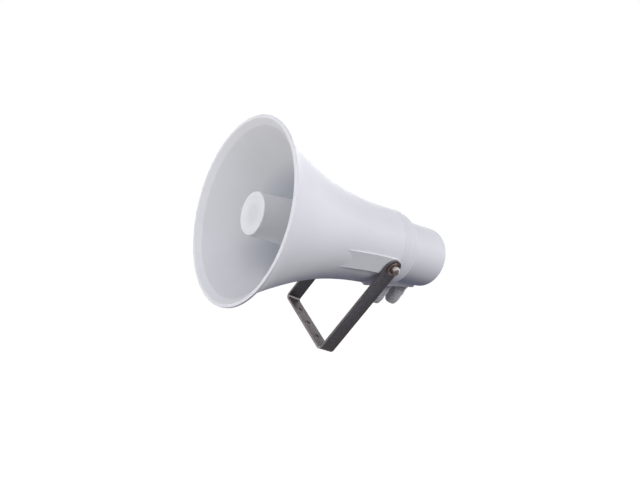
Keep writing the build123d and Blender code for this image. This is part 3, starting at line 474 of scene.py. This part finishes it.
gland = mouldedPlastic("glandNylon", glandLook, blotsAndCollarShade)
inner = mouldedPlastic("innerPlastic", innerLook)
bolt = weatheredBolt("boltSteel", boltLook)
washer = workedMetal("washerSteel", washerLook, washerUpperShade)
screw = workedMetal("screwSteel", screwLook)
zinc = workedMetal("zincPlate", zincLook)
brass = workedMetal("insertBrass", brassLook)
nylon = mouldedPlastic("washerNylon", nylonLook)
rubber = softRubber("sealRubber", rubberLook)
seal = softRubber("gasketRubber", gasketLook)
nodeFinishes = {
    "horn_bell": mouldedPlastic("bellPlastic", bellLook, bellLightAndShade),
    "reflector_cup": mouldedPlastic("cupPlastic", cupLook, dishShade),
    "rear_housing": mouldedPlastic("housingPlastic", housingLook, housingShadeBelowGreyAbove),
    "housing_gasket": seal, "throat_gasket": rubber,
    "mounting_bracket": agedStrip("stripSteel", stripLook),
    "throat_tube": inner, "diaphragm_clamp": inner,
    "phase_plug": workedMetal("plugCasting", castLook),
    "diaphragm_surround": mouldedPlastic("surroundFilm", filmLook),
    "diaphragm_dome": mouldedPlastic("domeCloth", domeLook),
    "voice_coil": workedMetal("coilCopper", copperLook),
    "top_plate": zinc, "pole_piece": zinc, "chassis_plate": zinc, "transformer_strap": zinc,
    "ferrite_magnet": workedMetal("magnetFerrite", ferriteLook),
    "transformer_core": workedMetal("coreLaminations", ferriteLook),
    "transformer_coil": mouldedPlastic("coilWrap", wrapLook),
    "terminal_block": mouldedPlastic("terminalPlastic", terminalLook),
    "driver_screws": screw, "housing_screws": screw,
}
pairedFinishes = {
    ("front", "rear"): {"gland_body": gland, "gland_nut": gland, "gland_seal": rubber},
    ("left", "right"): {"threaded_insert": brass, "friction_washer": nylon, "flat_washer": washer,
                        "spring_washer": washer, "pivot_bolt": bolt},
}
for ends, finishes in pairedFinishes.items():
    nodeFinishes.update({f"{name}_{end}": finish for name, finish in finishes.items() for end in ends})
for name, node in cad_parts.items():
    node.data.materials.clear()
    node.data.materials.append(nodeFinishes[name])
print("finishes set")

# The seal between bell and housing, squeezed out until it nearly fills the parting line
sealRing = {
    "station": 0.2060, "thickness": 0.0005, "inner": 0.0452, "outer": 0.05058,
    "crown": 0.00008, "crownShares": (0.25, 0.5, 0.75), "steps": 192,
}


def addSealRing(look, finish):
    mesh = bmesh.new()
    depth = look["thickness"]
    crown = [(depth * share, look["outer"] + look["crown"] * math.sin(math.pi * share))
             for share in look["crownShares"]]
    profile = [(0, look["inner"]), (0, look["outer"]), *crown, (depth, look["outer"]), (depth, look["inner"])]
    roundedFaces = range(1, len(crown) + 2)
    rings = []
    for step in range(look["steps"]):
        turn = 2 * math.pi * step / look["steps"]
        outward = Vector((math.cos(turn), 0, 0)) + hornUp * math.sin(turn)
        rings.append([mesh.verts.new(mouthCentre + rearward * (look["station"] + along) + outward * radius)
                      for along, radius in profile])
    for first, second in zip(rings, rings[1:] + rings[:1]):
        for here in range(len(profile)):
            there = (here + 1) % len(profile)
            face = mesh.faces.new((first[here], first[there], second[there], second[here]))
            face.smooth = here in roundedFaces
    bmesh.ops.recalc_face_normals(mesh, faces=mesh.faces)
    data = bpy.data.meshes.new("housingSeal")
    mesh.to_mesh(data)
    mesh.free()
    data.materials.append(finish)
    piece = bpy.data.objects.new("housingSeal", data)
    bpy.context.collection.objects.link(piece)
    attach(piece, "horn")
    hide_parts("housing_gasket")


addSealRing(sealRing, seal)
print("housing seal made")

# The camera is as far, and turned as much about its own axis, as in the photograph
cameraLook = {
    "place": (0.4826, -0.5039, 0.2749), "target": (0.0, -0.07344, 0.11464), "roll": 37.38,
    "focalPixels": 553.4, "frameWidth": 640, "sensor": 36.0, "clipStart": 0.01,
}


def addCamera(look):
    data = bpy.data.cameras.new("photoCamera")
    data.sensor_width = look["sensor"]
    data.lens = look["sensor"] * look["focalPixels"] / look["frameWidth"]
    data.clip_start = look["clipStart"]
    camera = bpy.data.objects.new("photoCamera", data)
    view = Vector(look["target"]) - Vector(look["place"])
    turn = view.to_track_quat("-Z", "Y").to_matrix() @ Matrix.Rotation(math.radians(look["roll"]), 3, "Z")
    camera.matrix_world = Matrix.Translation(look["place"]) @ turn.to_4x4()
    bpy.context.collection.objects.link(camera)
    bpy.context.scene.camera = camera


lampTarget = (0, -0.05, 0.12)
lampLooks = {
    "upperLamp": {"place": (0.772, 0.313, 1.590), "size": 0.8, "power": 12.6},
    "sideLamp": {"place": (1.069, 0.490, 1.327), "size": 0.8, "power": 8.9},
    "frontLamp": {"place": (0.496, -1.138, 1.328), "size": 0.8, "power": 4.5},
    "mouthLamp": {"place": (0.001, -1.750, 0.127), "size": 0.8, "power": 10.8},
    "lowLamp": {"place": (0.149, -1.517, -0.726), "size": 0.8, "power": 13.0},
    "rearLamp": {"place": (-1.35, 0.75, 0.45), "size": 1.0, "power": 12.0},
}


def addLamp(name, look):
    data = bpy.data.lights.new(name, "AREA")
    data.size = look["size"]
    data.energy = look["power"]
    lamp = bpy.data.objects.new(name, data)
    lamp.location = look["place"]
    aim = Vector(lampTarget) - Vector(look["place"])
    lamp.rotation_euler = aim.to_track_quat("-Z", "Y").to_euler()
    bpy.context.collection.objects.link(lamp)


# Seen by the camera or in a gloss, floor and sky are white, and otherwise they light the object softly
stageLook = {
    "floorHeight": -0.95, "floorSize": 30.0, "floorColour": rgb(66, 66, 67), "floorShade": rgb(62, 62, 63),
    "paperScale": 3.0, "paperDetail": 2.0, "rough": 0.9, "glow": 0.96,
    "ambient": (0.19, 0.195, 0.265, 1), "black": (0, 0, 0, 1), "white": (1, 1, 1, 1),
}


def addStage(look):
    half = look["floorSize"] / 2
    corners = [(x, y, look["floorHeight"]) for x, y in ((-half, -half), (half, -half), (half, half), (-half, half))]
    mesh = bpy.data.meshes.new("floor")
    mesh.from_pydata(corners, [], [(0, 1, 2, 3)])
    floor = bpy.data.objects.new("floor", mesh)
    bpy.context.collection.objects.link(floor)
    paper = Finish("floorPaper")
    shade = paper.noise(look["paperScale"], look["paperDetail"])
    mesh.materials.append(paper.surface({
        "Base Color": paper.mix(shade, look["floorColour"], look["floorShade"]), "Roughness": look["rough"],
        "Emission Color": paper.mix(paper.looking(), look["black"], look["white"]), "Emission Strength": look["glow"],
    }))
    world = bpy.data.worlds.new("studio")
    world.use_nodes = True
    bpy.context.scene.world = world
    sky = Graph(world.node_tree)
    sky.plug(sky.tree.nodes["Background"].inputs["Color"], sky.mix(sky.looking(), look["ambient"], look["white"]))


addCamera(cameraLook)
for name, look in lampLooks.items():
    addLamp(name, look)
addStage(stageLook)
bpy.context.scene.view_settings.view_transform = "Standard"
print("camera, lamps and stage set")
